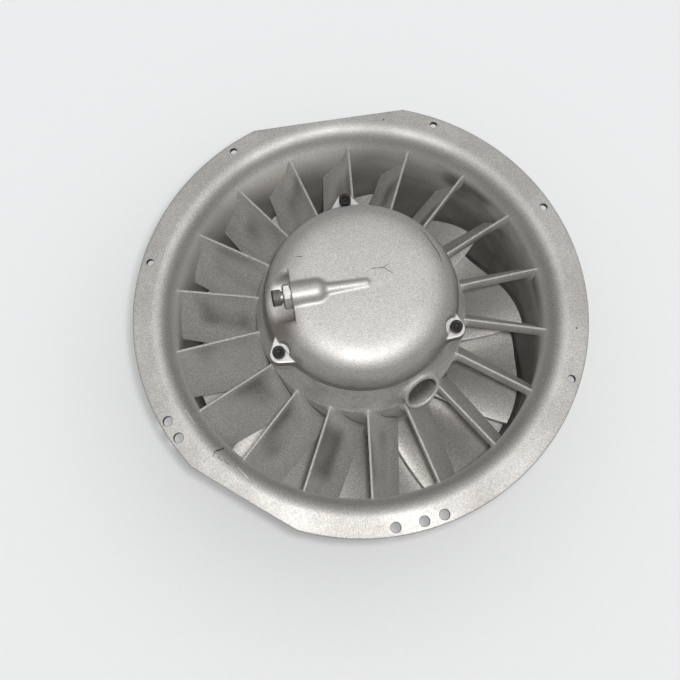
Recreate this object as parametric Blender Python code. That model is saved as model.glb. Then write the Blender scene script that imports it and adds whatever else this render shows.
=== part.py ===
"""Inlet side cooling fan of an air-cooled engine: cast housing, 18 guide vanes, hub, cover and rotor.

The fan stands on the rear face of its duct with the inlet facing up. Metres, +Z up.
The origin is on the fan's axis, in the plane of the rear face.
"""
import math

import bmesh
import bpy
from mathutils import Matrix, Vector

# Heights above the rear face
FLANGE_TOP = 0.232
FLANGE_THICK = 0.006
THROAT_DROP = 0.028
THROAT_Z = FLANGE_TOP - THROAT_DROP

# Housing casting, drawn as an inlet flange and a duct
FLANGE_RADIUS = 0.250
FLANGE_FILLET = 0.008
LIP_RADIUS = 0.230
THROAT_RADIUS = 0.2085
DUCT_RADIUS = 0.2196
DUCT_STRAIGHT_Z = 0.120
DUCT_OUTSIDE = 0.2256
RING_SIDES = 72
FLATS = ((112.2, 0.2335), (-106.2, 0.2419))

# Flange holes
SMALL_HOLE = 0.008
SMALL_HOLE_CIRCLE = 0.2404
SMALL_HOLE_ANGLES = (-7.3, 42.3, 81.8, 141.3, 181.6)
LARGE_HOLE = 0.0105
LARGE_HOLE_CIRCLE = 0.241
LARGE_HOLE_ANGLES = (-55.9, -61.0, -68.1, -128.6, -133.7)
HOLE_SIDES = 16

# Guide vanes, leading edge up
VANE_COUNT = 18
VANE_START = 7.0
VANE_TOP = FLANGE_TOP - 0.022
VANE_BOTTOM = FLANGE_TOP - 0.110
VANE_TURN_OUTER = 8.5
VANE_TURN_INNER = 19.0
VANE_THICK = 0.004
VANE_STATIONS = 8

# Hub casting, flared between its top edge and the vanes
HUB_RADIUS = 0.1185
HUB_TOP = FLANGE_TOP + 0.020
HUB_TOP_RADIUS = 0.102
HUB_FLARE_Z = FLANGE_TOP - 0.022
HUB_FLARE_POWER = 1.3
HUB_BOTTOM = FLANGE_TOP - 0.117
HUB_WALL = 0.007
HUB_RIM_INSIDE = 0.089
HUB_RIM_HEIGHT = 0.012
HUB_SIDES = 60

# Round pocket on the hub between two vanes
POCKET_ANGLE = -42.5
POCKET_RADIUS = 0.1195
POCKET_Z = FLANGE_TOP - 0.004
POCKET_TILT = 61.0
POCKET_RIM = 0.022
POCKET_BORE = 0.0175
POCKET_DEPTH = 0.022
POCKET_FLOOR = 0.008
POCKET_VANES = (-53.0, -33.0)

# Cover, its ears and screws
COVER_GAP = 0.0003
COVER_BOTTOM = HUB_TOP + COVER_GAP
COVER_EDGE = 0.0135
COVER_TOP = FLANGE_TOP + 0.062
COVER_SQUARENESS = 0.6
COVER_RIM_WALL = 0.013
COVER_TOP_WALL = 0.007
EAR_CIRCLE = 0.1065
EAR_RADIUS = 0.0102
EAR_TIP_RADIUS = 0.1013
EAR_TIP_ANGLE = 9.9
EAR_ANGLES = (112.0, -8.0, -128.0)
HUB_EAR_HEIGHT = 0.020
SPOT_FACE = 0.012
SCREW_HEAD = 0.013
SCREW_HEAD_HEIGHT = 0.008
SCREW_SHANK = 0.008
SCREW_REACH = 0.030
SOCKET = 0.006
SOCKET_DEPTH = 0.004

# Oil union on the cover, with its boss, rib and scooped recess
UNION_ANGLE = -157.0
UNION_Z = FLANGE_TOP + 0.058
UNION_FACE = 0.0705
UNION_BOSS_RADIUS = 0.0125
UNION_BOSS_END = 0.033
RIB_START = 0.040
RIB_END = -0.006
RIB_RADIUS = 0.0048
RIB_END_RADIUS = 0.0026
RIB_Z = FLANGE_TOP + 0.061
SCOOP_HALF_WIDTH = 0.0285
SCOOP_DEPTH = 0.0225
SCOOP_WALL = 0.006
UNION_NUT_FLATS = 0.024
UNION_NUT_LENGTH = 0.008
UNION_NECK = 0.006
UNION_NECK_END = 0.084
UNION_THREAD = 0.008
UNION_END = 0.0925

# Rotor
BLADE_COUNT = 10
BLADE_START = 19.6
BLADE_TIP_RADIUS = 0.2145
BLADE_TOP_TIP = FLANGE_TOP - 0.150
BLADE_TOP_ROOT = FLANGE_TOP - 0.145
BLADE_BOTTOM = FLANGE_TOP - 0.222
BLADE_LEAN = -7.2
BLADE_TURN = 42.0
BLADE_FALL_SHARE = 0.9
BLADE_THICK = 0.0055
BLADE_STATIONS = 12
ROTOR_RADIUS = 0.1175
ROTOR_TOP = HUB_BOTTOM - 0.005
ROTOR_BOTTOM = 0.010
ROTOR_WALL = 0.006
BOSS_RADIUS = 0.034
BOSS_BOTTOM = 0.040
SHAFT_RADIUS = 0.0175
SHAFT_CLEARANCE = 0.001
SHAFT_BOTTOM = 0.012
SHAFT_TOP = FLANGE_TOP - 0.010
SLEEVE_RADIUS = 0.034
SLEEVE_TOP = SHAFT_TOP - 0.030
SHAFT_NUT_FLATS = 0.046
SHAFT_NUT_HEIGHT = 0.016

# Gap left between touching pieces, and the seating gap of vanes and blades
GAP = 0.0003
SEAT = 0.0004
SHARP_ANGLE = math.radians(35)


def clear_scene():
    for item in list(bpy.data.objects):
        bpy.data.objects.remove(item, do_unlink=True)


def make_material(name, color, roughness, metallic):
    material = bpy.data.materials.new(name)
    material.use_nodes = True
    shader = material.node_tree.nodes["Principled BSDF"]
    shader.inputs["Base Color"].default_value = (*color, 1.0)
    shader.inputs["Roughness"].default_value = roughness
    shader.inputs["Metallic"].default_value = metallic
    return material


def add_object(name, mesh_builder, material, smooth=True):
    """Turn a finished bmesh into a named object with outward faces."""
    bmesh.ops.recalc_face_normals(mesh_builder, faces=mesh_builder.faces)
    mesh = bpy.data.meshes.new(name)
    mesh_builder.to_mesh(mesh)
    mesh_builder.free()
    mesh.materials.append(material)
    if smooth:
        mesh.shade_smooth()
        mesh.set_sharp_from_angle(angle=SHARP_ANGLE)
    item = bpy.data.objects.new(name, mesh)
    bpy.context.scene.collection.objects.link(item)
    return item


def turned(name, outline, material, sides, smooth=True):
    """Spin a closed (radius, height) outline about the fan's axis."""
    builder = bmesh.new()
    verts = [builder.verts.new((radius, 0.0, height)) for radius, height in outline]
    edges = [builder.edges.new(pair) for pair in zip(verts, verts[1:] + verts[:1])]
    bmesh.ops.spin(builder, geom=verts + edges, cent=(0, 0, 0), axis=(0, 0, 1),
                   angle=math.tau, steps=sides, use_merge=True)
    bmesh.ops.remove_doubles(builder, verts=builder.verts, dist=1e-6)
    return add_object(name, builder, material, smooth)


def turned_solid(name, outline, material, sides, smooth=True):
    """Spin an open (radius, height) outline whose two ends lie on the axis."""
    builder = bmesh.new()
    verts = [builder.verts.new((radius, 0.0, height)) for radius, height in outline]
    edges = [builder.edges.new(pair) for pair in zip(verts, verts[1:])]
    bmesh.ops.spin(builder, geom=verts + edges, cent=(0, 0, 0), axis=(0, 0, 1),
                   angle=math.tau, steps=sides, use_merge=True)
    bmesh.ops.remove_doubles(builder, verts=builder.verts, dist=1e-6)
    flat = [edge for edge in builder.edges if edge.calc_length() < 1e-7]
    bmesh.ops.dissolve_degenerate(builder, dist=1e-6, edges=flat)
    return add_object(name, builder, material, smooth)


def prism(name, radius, bottom, top, material, sides, turn=0.0):
    """Upright prism or cylinder on the Z axis."""
    builder = bmesh.new()
    bmesh.ops.create_cone(builder, cap_ends=True, segments=sides, radius1=radius, radius2=radius,
                          depth=top - bottom)
    bmesh.ops.rotate(builder, verts=builder.verts, cent=(0, 0, 0),
                     matrix=Matrix.Rotation(math.radians(turn), 3, "Z"))
    bmesh.ops.translate(builder, verts=builder.verts, vec=(0, 0, (bottom + top) / 2))
    return add_object(name, builder, material)


def polar(radius, degrees, height=0.0):
    angle = math.radians(degrees)
    return Vector((radius * math.cos(angle), radius * math.sin(angle), height))


def boolean(target, tool, operation="DIFFERENCE"):
    """Apply a Boolean now and remove its tool."""
    modifier = target.modifiers.new("cut", "BOOLEAN")
    modifier.operation = operation
    modifier.solver = "EXACT"
    modifier.object = tool
    bpy.context.view_layer.update()
    graph = bpy.context.evaluated_depsgraph_get()
    mesh = bpy.data.meshes.new_from_object(target.evaluated_get(graph))
    target.modifiers.remove(modifier)
    old = target.data
    target.data = mesh
    mesh.name = old.name
    bpy.data.meshes.remove(old)
    bpy.data.objects.remove(tool, do_unlink=True)
    target.data.shade_smooth()
    target.data.set_sharp_from_angle(angle=SHARP_ANGLE)


def duct_inner_radius(height):
    """Inner radius of the bell mouth and the duct at a height."""
    if height >= THROAT_Z:
        rise = (height - THROAT_Z) / THROAT_DROP
        return LIP_RADIUS - (LIP_RADIUS - THROAT_RADIUS) * math.sqrt(max(0.0, 1.0 - rise * rise))
    if height >= DUCT_STRAIGHT_Z:
        fall = (THROAT_Z - height) / (THROAT_Z - DUCT_STRAIGHT_Z)
        ease = fall * fall * (3.0 - 2.0 * fall)
        return THROAT_RADIUS + (DUCT_RADIUS - THROAT_RADIUS) * ease
    return DUCT_RADIUS


def build_inlet_flange(material):
    """Flat flange and bell mouth, from the outer edge down to the throat."""
    bell_steps = 6
    inner = []
    for step in range(bell_steps + 1):
        turn = math.radians(90.0 * step / bell_steps)
        radius = LIP_RADIUS - (LIP_RADIUS - THROAT_RADIUS) * math.sin(turn)
        inner.append((radius, FLANGE_TOP - THROAT_DROP * (1.0 - math.cos(turn))))
    underside = FLANGE_TOP - FLANGE_THICK
    outer = [(DUCT_OUTSIDE, THROAT_Z), (DUCT_OUTSIDE, underside - FLANGE_FILLET),
             (DUCT_OUTSIDE + FLANGE_FILLET, underside), (FLANGE_RADIUS, underside),
             (FLANGE_RADIUS, FLANGE_TOP)]
    flange = turned("inlet_flange", inner + outer, material, RING_SIDES)
    for degrees, distance in FLATS:
        boolean(flange, flat_cutter(degrees, distance))
    for degrees in SMALL_HOLE_ANGLES:
        boolean(flange, hole_cutter(SMALL_HOLE, SMALL_HOLE_CIRCLE, degrees))
    for degrees in LARGE_HOLE_ANGLES:
        boolean(flange, hole_cutter(LARGE_HOLE, LARGE_HOLE_CIRCLE, degrees))


def build_duct(material):
    """Duct wall round the vanes and the rotor."""
    cone_steps = 4
    outline = []
    for step in range(cone_steps + 1):
        height = THROAT_Z - GAP - (THROAT_Z - GAP - DUCT_STRAIGHT_Z) * step / cone_steps
        outline.append((duct_inner_radius(height), height))
    outline += [(DUCT_RADIUS, 0.0), (DUCT_OUTSIDE, 0.0), (DUCT_OUTSIDE, THROAT_Z - GAP)]
    turned("duct_shell", outline, material, RING_SIDES)


def flat_cutter(degrees, distance):
    """Block that trims the flange to a straight edge."""
    builder = bmesh.new()
    bmesh.ops.create_cube(builder, size=1.0)
    bmesh.ops.scale(builder, verts=builder.verts, vec=(0.05, 0.5, 3 * FLANGE_THICK))
    bmesh.ops.translate(builder, verts=builder.verts, vec=(distance + 0.025, 0, FLANGE_TOP))
    bmesh.ops.rotate(builder, verts=builder.verts, cent=(0, 0, 0),
                     matrix=Matrix.Rotation(math.radians(degrees), 3, "Z"))
    return add_object("flat_cutter", builder, None, smooth=False)


def hole_cutter(diameter, circle, degrees):
    cutter = prism("hole_cutter", diameter / 2, FLANGE_TOP - 0.05, FLANGE_TOP + 0.05, None, HOLE_SIDES)
    cutter.data.transform(Matrix.Translation(polar(circle, degrees)))
    return cutter


def hub_radius(height):
    """Outer radius of the hub, flared where the vanes spring from it."""
    rise = max(0.0, (height - HUB_FLARE_Z) / (HUB_TOP - HUB_FLARE_Z))
    return HUB_TOP_RADIUS + (HUB_RADIUS - HUB_TOP_RADIUS) * (1.0 - rise) ** HUB_FLARE_POWER


def camber_plate(name, stations, thick, material):
    """Closed curved plate from (root point, tip point, root normal, tip normal, width) stations."""
    builder = bmesh.new()
    loops = []
    for root, tip, root_side, tip_side, width in stations:
        half = thick * width / 2
        corners = (root + root_side * half, tip + tip_side * half, tip - tip_side * half,
                   root - root_side * half)
        loops.append([builder.verts.new(corner) for corner in corners])
    for above, below in zip(loops, loops[1:]):
        for side in range(4):
            following = (side + 1) % 4
            builder.faces.new((above[side], above[following], below[following], below[side]))
    builder.faces.new(loops[0])
    builder.faces.new(loops[-1][::-1])
    bmesh.ops.triangulate(builder, faces=builder.faces)
    return add_object(name, builder, material)


def edge_width(part):
    """Share of the full thickness along the chord: thinner at both edges."""
    return 0.62 + 0.38 * math.sin(math.pi * min(1.0, 0.12 + 0.88 * part))


def side_vector(point, ahead):
    """Unit vector across a plate whose chord runs from point to ahead."""
    along = (ahead - point).normalized()
    outward = Vector((point.x, point.y, 0.0)).normalized()
    return along.cross(outward).normalized()


def vane_point(radius_of, degrees, turn, part, margin):
    height = VANE_TOP + (VANE_BOTTOM - VANE_TOP) * part
    return polar(radius_of(height) + margin, degrees + turn * part ** 2, height)


def build_vane(index, material):
    degrees = VANE_START + index * 360.0 / VANE_COUNT
    stations = []
    for step in range(VANE_STATIONS + 1):
        part = step / VANE_STATIONS
        ahead = part + 0.02
        root = vane_point(hub_radius, degrees, VANE_TURN_INNER, part, SEAT)
        tip = vane_point(duct_inner_radius, degrees, VANE_TURN_OUTER, part, -SEAT - GAP)
        root_side = side_vector(root, vane_point(hub_radius, degrees, VANE_TURN_INNER, ahead, SEAT))
        tip_side = side_vector(tip, vane_point(duct_inner_radius, degrees, VANE_TURN_OUTER, ahead, -SEAT))
        stations.append((root, tip, root_side, tip_side, edge_width(part)))
    vane = camber_plate(f"guide_vane_{index + 1:02d}", stations, VANE_THICK, material)
    for pocket_vane in POCKET_VANES:
        if abs((degrees - pocket_vane + 180.0) % 360.0 - 180.0) < 1.0:
            boolean(vane, pocket_cylinder(POCKET_RIM + SEAT, POCKET_DEPTH, SEAT))


def blade_fall(part):
    """Share of the blade's height passed at a share of its turn, eased at both edges."""
    eased = min(1.0, part / BLADE_FALL_SHARE)
    return eased * eased * (3.0 - 2.0 * eased)


def blade_point(radius, degrees, top, part):
    height = top + (BLADE_BOTTOM - top) * blade_fall(part)
    return polar(radius, degrees + BLADE_TURN * part, height)


def build_blade(index, material):
    degrees = BLADE_START + index * 360.0 / BLADE_COUNT
    stations = []
    for step in range(BLADE_STATIONS + 1):
        part = step / BLADE_STATIONS
        ahead = part + 0.02
        root = blade_point(ROTOR_RADIUS + SEAT, degrees + BLADE_LEAN, BLADE_TOP_ROOT, part)
        tip = blade_point(BLADE_TIP_RADIUS, degrees, BLADE_TOP_TIP, part)
        root_ahead = blade_point(ROTOR_RADIUS + SEAT, degrees + BLADE_LEAN, BLADE_TOP_ROOT, ahead)
        tip_ahead = blade_point(BLADE_TIP_RADIUS, degrees, BLADE_TOP_TIP, ahead)
        stations.append((root, tip, side_vector(root, root_ahead), side_vector(tip, tip_ahead),
                         edge_width(part)))
    camber_plate(f"rotor_blade_{index + 1:02d}", stations, BLADE_THICK, material)


def pocket_cylinder(radius, inward, outward):
    """Cylinder on the pocket's slanting axis, from a depth inside its mouth to a little outside."""
    cylinder = prism("pocket_cylinder", radius, -inward, outward, None, 32)
    cylinder.data.transform(Matrix.Rotation(math.radians(POCKET_TILT), 4, "Y"))
    cylinder.data.transform(Matrix.Translation((POCKET_RADIUS, 0, POCKET_Z)))
    cylinder.data.transform(Matrix.Rotation(math.radians(POCKET_ANGLE), 4, "Z"))
    return cylinder


def ear_block(degrees, bottom, top):
    """Lobe round a cover screw, with its sides tangent to the round end."""
    inside = polar(HUB_RIM_INSIDE - 0.001, EAR_TIP_ANGLE)
    tip = polar(EAR_TIP_RADIUS, EAR_TIP_ANGLE)
    centre = Vector((EAR_CIRCLE, 0.0, 0.0))
    reach = tip - centre
    tangent = math.atan2(reach.y, reach.x) - math.acos(EAR_RADIUS / reach.length)
    arc_steps = 10
    outline = [(inside.x, -inside.y), (tip.x, -tip.y)]
    for step in range(arc_steps + 1):
        turn = tangent * (2 * step / arc_steps - 1)
        outline.append((centre.x + EAR_RADIUS * math.cos(turn), EAR_RADIUS * math.sin(turn)))
    outline += [(tip.x, tip.y), (inside.x, inside.y)]
    builder = bmesh.new()
    floor = [builder.verts.new((x, y, bottom)) for x, y in outline]
    roof = [builder.verts.new((x, y, top)) for x, y in outline]
    builder.faces.new(floor[::-1])
    builder.faces.new(roof)
    for side in range(len(outline)):
        following = (side + 1) % len(outline)
        builder.faces.new((floor[side], floor[following], roof[following], roof[side]))
    block = add_object("ear_block", builder, None)
    block.data.transform(Matrix.Rotation(math.radians(degrees), 4, "Z"))
    return block


def build_hub(material):
    """Hub casting: outer wall, floor and bearing sleeve, open at the top under the cover."""
    flare_steps = 6
    bore = SHAFT_RADIUS + SHAFT_CLEARANCE
    floor = HUB_BOTTOM + HUB_WALL
    inside = HUB_RADIUS - HUB_WALL
    outline = [(bore, SLEEVE_TOP), (bore, HUB_BOTTOM), (HUB_RADIUS, HUB_BOTTOM)]
    for step in range(flare_steps + 1):
        height = HUB_FLARE_Z + (HUB_TOP - HUB_FLARE_Z) * step / flare_steps
        outline.append((hub_radius(height), height))
    outline += [(HUB_RIM_INSIDE, HUB_TOP), (HUB_RIM_INSIDE, HUB_TOP - HUB_RIM_HEIGHT),
                (inside, HUB_FLARE_Z), (inside, floor), (SLEEVE_RADIUS, floor), (SLEEVE_RADIUS, SLEEVE_TOP)]
    hub = turned("hub_body", outline, material, HUB_SIDES)
    for degrees in EAR_ANGLES:
        boolean(hub, ear_block(degrees, HUB_TOP - HUB_EAR_HEIGHT, HUB_TOP), "UNION")
    boolean(hub, pocket_cylinder(POCKET_RIM, POCKET_DEPTH + POCKET_FLOOR, 0.0), "UNION")
    boolean(hub, pocket_cylinder(POCKET_BORE, POCKET_DEPTH, 0.02))
    for degrees in EAR_ANGLES:
        boolean(hub, screw_hole(degrees, HUB_TOP - SCREW_REACH / 2 - 0.002, HUB_TOP + 0.01))


def screw_hole(degrees, bottom, top):
    cutter = prism("screw_hole", SCREW_SHANK / 2 + GAP, bottom, top, None, 16)
    cutter.data.transform(Matrix.Translation(polar(EAR_CIRCLE, degrees)))
    return cutter


def dome_outline(radius, edge_z, top_z):
    """Curve from a dome's edge to the axis, squarer than an ellipse."""
    steps = 8
    points = []
    for step in range(steps):
        turn = math.radians(90.0 * step / steps)
        points.append((radius * math.cos(turn) ** COVER_SQUARENESS, edge_z + (top_z - edge_z) * math.sin(turn)))
    points.append((0.0, top_z))
    return points


def dome(name, radius, bottom, edge_z, top_z, material):
    outline = [(0.0, bottom), (radius, bottom)] + dome_outline(radius, edge_z, top_z)
    return turned_solid(name, outline, material, HUB_SIDES)


def scoop(name, grow, start, end):
    """Oval channel along the union's radial line, grown by a wall thickness."""
    return radial_prism(name, 1.0, start, end, None, 40,
                        stretch=(SCOOP_DEPTH + grow, SCOOP_HALF_WIDTH + grow))


def build_cover(material):
    """Domed cover with three screw ears, and the boss, rib and recess of the oil union."""
    edge_z = COVER_BOTTOM + COVER_EDGE
    cover = dome("hub_cover", HUB_TOP_RADIUS, COVER_BOTTOM, edge_z, COVER_TOP, material)
    cavity = dome("cavity", HUB_TOP_RADIUS - COVER_RIM_WALL, COVER_BOTTOM - 0.01, edge_z - COVER_TOP_WALL,
                  COVER_TOP - COVER_TOP_WALL, None)
    boolean(cavity, scoop("liner", SCOOP_WALL, UNION_FACE - SCOOP_WALL, 0.15))
    for degrees in EAR_ANGLES:
        boolean(cover, ear_block(degrees, COVER_BOTTOM, edge_z), "UNION")
    boolean(cover, cavity)
    boolean(cover, scoop("scoop", 0.0, UNION_FACE, 0.15))
    boolean(cover, union_boss(), "UNION")
    boolean(cover, union_rib(), "UNION")
    for degrees in EAR_ANGLES:
        spot_face = prism("spot_face", SPOT_FACE, edge_z, COVER_TOP, None, 24)
        spot_face.data.transform(Matrix.Translation(polar(EAR_CIRCLE, degrees)))
        boolean(cover, spot_face)
        boolean(cover, screw_hole(degrees, COVER_BOTTOM - 0.01, edge_z + 0.01))


def build_screw(index, degrees, material):
    seat = COVER_BOTTOM + COVER_EDGE + GAP
    shank = SCREW_SHANK / 2
    head = SCREW_HEAD / 2
    top = seat + SCREW_HEAD_HEIGHT
    foot = seat - SCREW_REACH
    outline = [(0.0, foot), (shank, foot), (shank, seat), (head, seat), (head, top), (SOCKET / 2, top),
               (SOCKET / 2, top - SOCKET_DEPTH), (0.0, top - SOCKET_DEPTH)]
    screw = turned_solid(f"cover_screw_{index + 1}", outline, material, 24)
    screw.location = polar(EAR_CIRCLE, degrees)


def place_on_union(piece):
    """Turn a piece built on the Z axis so that it lies along the union's radial line."""
    piece.data.transform(Matrix.Rotation(math.radians(90), 4, "Y"))
    piece.data.transform(Matrix.Translation((0, 0, UNION_Z)))
    piece.data.transform(Matrix.Rotation(math.radians(UNION_ANGLE), 4, "Z"))
    return piece


def radial_prism(name, radius, start, end, material, sides, stretch=(1.0, 1.0)):
    """Prism along the union's radial line, its section stretched upright and sideways."""
    piece = prism(name, radius, start, end, material, sides)
    piece.data.transform(Matrix.Diagonal((*stretch, 1.0, 1.0)))
    return place_on_union(piece)


def union_boss():
    """Round ended cylinder of which the upper half stands out of the dome."""
    round_steps = 6
    outline = [(0.0, UNION_FACE), (UNION_BOSS_RADIUS, UNION_FACE)]
    for step in range(round_steps):
        turn = math.radians(90.0 * step / round_steps)
        reach = UNION_BOSS_END + UNION_BOSS_RADIUS * (1.0 - math.sin(turn))
        outline.append((UNION_BOSS_RADIUS * math.cos(turn), reach))
    outline.append((0.0, UNION_BOSS_END))
    return place_on_union(turned_solid("union_boss", outline, None, 32))


def union_rib():
    """Tapered rib that runs from the boss past the middle of the dome."""
    builder = bmesh.new()
    bmesh.ops.create_cone(builder, cap_ends=True, segments=20, radius1=RIB_END_RADIUS,
                          radius2=RIB_RADIUS, depth=RIB_START - RIB_END)
    bmesh.ops.translate(builder, verts=builder.verts, vec=(0, 0, (RIB_START + RIB_END) / 2))
    rib = place_on_union(add_object("union_rib", builder, None))
    rib.data.transform(Matrix.Translation((0, 0, RIB_Z - UNION_Z)))
    return rib


def build_union(material):
    """Locknut and threaded stub that stand on the flat of the recess."""
    start = UNION_FACE + GAP
    across_corners = UNION_NUT_FLATS / 2 / math.cos(math.pi / 6)
    nut = prism("oil_union_nut", across_corners, start, start + UNION_NUT_LENGTH, material, 6)
    boolean(nut, prism("nut_bore", UNION_NECK + GAP, 0.0, 0.15, None, 24))
    place_on_union(nut)
    outline = [(0.0, start), (UNION_NECK, start), (UNION_NECK, UNION_NECK_END),
               (UNION_THREAD, UNION_NECK_END), (UNION_THREAD, UNION_END), (0.0, UNION_END)]
    place_on_union(turned_solid("oil_union_stub", outline, material, 24))


def build_rotor_hub(material):
    bore = SHAFT_RADIUS + GAP
    ceiling = ROTOR_TOP - ROTOR_WALL
    inside = ROTOR_RADIUS - ROTOR_WALL
    outline = [(bore, ROTOR_TOP), (bore, BOSS_BOTTOM), (BOSS_RADIUS, BOSS_BOTTOM), (BOSS_RADIUS, ceiling),
               (inside, ceiling), (inside, ROTOR_BOTTOM), (ROTOR_RADIUS, ROTOR_BOTTOM),
               (ROTOR_RADIUS, ROTOR_TOP)]
    turned("rotor_hub", outline, material, HUB_SIDES)


def build_shaft(material):
    outline = [(0.0, SHAFT_BOTTOM), (SHAFT_RADIUS, SHAFT_BOTTOM), (SHAFT_RADIUS, SHAFT_TOP), (0.0, SHAFT_TOP)]
    turned_solid("rotor_shaft", outline, material, 32)


def build_shaft_nut(material):
    across_corners = SHAFT_NUT_FLATS / 2 / math.cos(math.pi / 6)
    top = BOSS_BOTTOM - GAP
    nut = prism("rotor_shaft_nut", across_corners, top - SHAFT_NUT_HEIGHT, top, material, 6)
    boolean(nut, prism("nut_bore", SHAFT_RADIUS + GAP, 0.0, 0.1, None, 32))


def main():
    clear_scene()
    cast = make_material("cast_aluminium", (0.52, 0.51, 0.49), 0.55, 0.8)
    black = make_material("black_screw", (0.03, 0.03, 0.03), 0.4, 0.6)
    steel = make_material("steel", (0.55, 0.54, 0.52), 0.35, 1.0)
    build_inlet_flange(cast)
    build_duct(cast)
    for index in range(VANE_COUNT):
        build_vane(index, cast)
    build_hub(cast)
    build_cover(cast)
    for index, degrees in enumerate(EAR_ANGLES):
        build_screw(index, degrees, black)
    build_union(steel)
    build_rotor_hub(cast)
    for index in range(BLADE_COUNT):
        build_blade(index, cast)
    build_shaft(steel)
    build_shaft_nut(steel)


main()
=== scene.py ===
"""Looks of the engine cooling fan: castings, vanes, rotor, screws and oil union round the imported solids."""
import functools
import math

import bmesh
import bpy
import numpy as np
from mathutils import Matrix, Vector


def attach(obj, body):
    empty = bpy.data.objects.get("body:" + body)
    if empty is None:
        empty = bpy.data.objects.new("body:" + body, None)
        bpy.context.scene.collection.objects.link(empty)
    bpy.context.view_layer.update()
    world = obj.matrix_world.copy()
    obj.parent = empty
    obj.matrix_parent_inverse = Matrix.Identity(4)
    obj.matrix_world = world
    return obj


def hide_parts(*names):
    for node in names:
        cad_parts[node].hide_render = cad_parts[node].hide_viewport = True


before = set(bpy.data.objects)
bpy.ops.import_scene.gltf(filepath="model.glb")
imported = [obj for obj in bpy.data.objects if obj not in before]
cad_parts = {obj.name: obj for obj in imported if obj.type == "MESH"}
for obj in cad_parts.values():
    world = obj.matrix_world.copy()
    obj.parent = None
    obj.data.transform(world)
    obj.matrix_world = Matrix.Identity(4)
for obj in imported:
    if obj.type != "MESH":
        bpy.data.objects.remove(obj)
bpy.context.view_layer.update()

# Heights above the rear face, and the sizes of the solids, in metres
FLANGE_TOP = 0.232
FLANGE_THICK = 0.006
THROAT_DROP = 0.028
THROAT_Z = FLANGE_TOP - THROAT_DROP
FLANGE_RADIUS = 0.250
LIP_RADIUS = 0.230
THROAT_RADIUS = 0.2085
DUCT_RADIUS = 0.2196
DUCT_STRAIGHT_Z = 0.120
DUCT_OUTSIDE = 0.2256
DUCT_MIDDLE = 0.2226
FLATS = ((112.2, 0.2335), (-106.2, 0.2419))
FLAT_REACH = 60.0
FLAT_START = 0.2315
SMALL_HOLE = 0.008
SMALL_HOLE_CIRCLE = 0.2404
SMALL_HOLE_ANGLES = (-7.3, 42.3, 81.8, 141.3, 181.6)
LARGE_HOLE = 0.0105
LARGE_HOLE_CIRCLE = 0.241
LARGE_HOLE_ANGLES = (-55.9, -61.0, -68.1, -128.6, -133.7)
HOLE_CHAMFER = 0.0005
HOLE_WALL_REACH = 0.0057

VANE_COUNT = 18
VANE_START = 7.0
VANE_TOP = FLANGE_TOP - 0.022
VANE_BOTTOM = FLANGE_TOP - 0.110
VANE_TURN_OUTER = 8.5
VANE_TURN_INNER = 19.0
VANE_ROOT_RISE = 0.004
VANE_EDGE = 0.0008
VANE_BELLY = 0.0012
VANE_ROOT_FILLET = 0.009
VANE_TIP_FILLET = 0.004
VANE_SPANS = (0.0, 0.012, 0.025, 0.04, 0.06, 0.09, 0.15, 0.25, 0.38, 0.5, 0.62, 0.75, 0.85, 0.91, 0.94, 0.96,
              0.975, 0.988, 1.0)

HUB_RADIUS = 0.1178
HUB_TOP = FLANGE_TOP + 0.0272
HUB_TOP_RADIUS = 0.1037
HUB_FLARE_Z = FLANGE_TOP - 0.022
HUB_FLARE_POWER = 1.3
HUB_FLARE_SLOPE = 0.93
HUB_BOTTOM = FLANGE_TOP - 0.117
HUB_EAR_HEIGHT = 0.020
HUB_EAR_MARGIN = 0.0006
HUB_SHIFT = Vector((0.0013, 0.0006, 0.0))

POCKET_ANGLE = -42.5
POCKET_RADIUS = 0.1195
POCKET_Z = FLANGE_TOP - 0.004
POCKET_TILT = 61.0
POCKET_RIM = 0.022
POCKET_BORE = 0.0175
POCKET_DEPTH = 0.026

COVER_BOTTOM = HUB_TOP + 0.0003
COVER_EDGE_Z = FLANGE_TOP + 0.0338
COVER_TOP = FLANGE_TOP + 0.062
DOME_RADII = (0.0, 0.054, 0.062, 0.0695, 0.077, 0.0828, 0.0872, 0.0915, 0.0955, 0.099, 0.101, 0.102, 0.12)
DOME_TILTS = (0.0, 0.0, 1.5, 6.5, 15.0, 25.0, 35.0, 47.0, 58.0, 66.0, 73.0, 82.0, 84.0)
EAR_CIRCLE = 0.1065
EAR_RADIUS = 0.0102
EAR_ROOT_CIRCLE = 0.085
EAR_ROOT_RADIUS = 0.0228
EAR_ANGLES = (112.0, -8.0, -128.0)
SPOT_FACE = 0.0115
SPOT_FACE_LIFT = 0.0006

UNION_ANGLE = -157.0
UNION_Z = FLANGE_TOP + 0.058
UNION_FACE = 0.0705
UNION_GAP = 0.0003
UNION_BOSS_RADIUS = 0.0125
UNION_BOSS_END = 0.033
RIB_START = 0.040
RIB_LENGTH = 0.046
RIB_RADIUS = 0.0062
RIB_END_RADIUS = 0.0045
RIB_Z = FLANGE_TOP + 0.0596
SCOOP_HALF_WIDTH = 0.025
SCOOP_DEPTH = 0.0185

NUT_FLATS = 0.024
NUT_HEIGHT = 0.008
NUT_BORE = 0.0061
NUT_CHAMFER = 0.0012
STUB_NECK = 0.006
STUB_NECK_END = 0.0812
STUB_END = 0.0907
STUB_END_RADIUS = 0.0075
STUB_BORE = 0.0027
STUB_BORE_START = 0.082
THREAD_START = 0.0825
THREAD_TURNS = 6
THREAD_PITCH = 0.00125
THREAD_CREST = 0.0088
THREAD_ROOT = 0.0081

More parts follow.
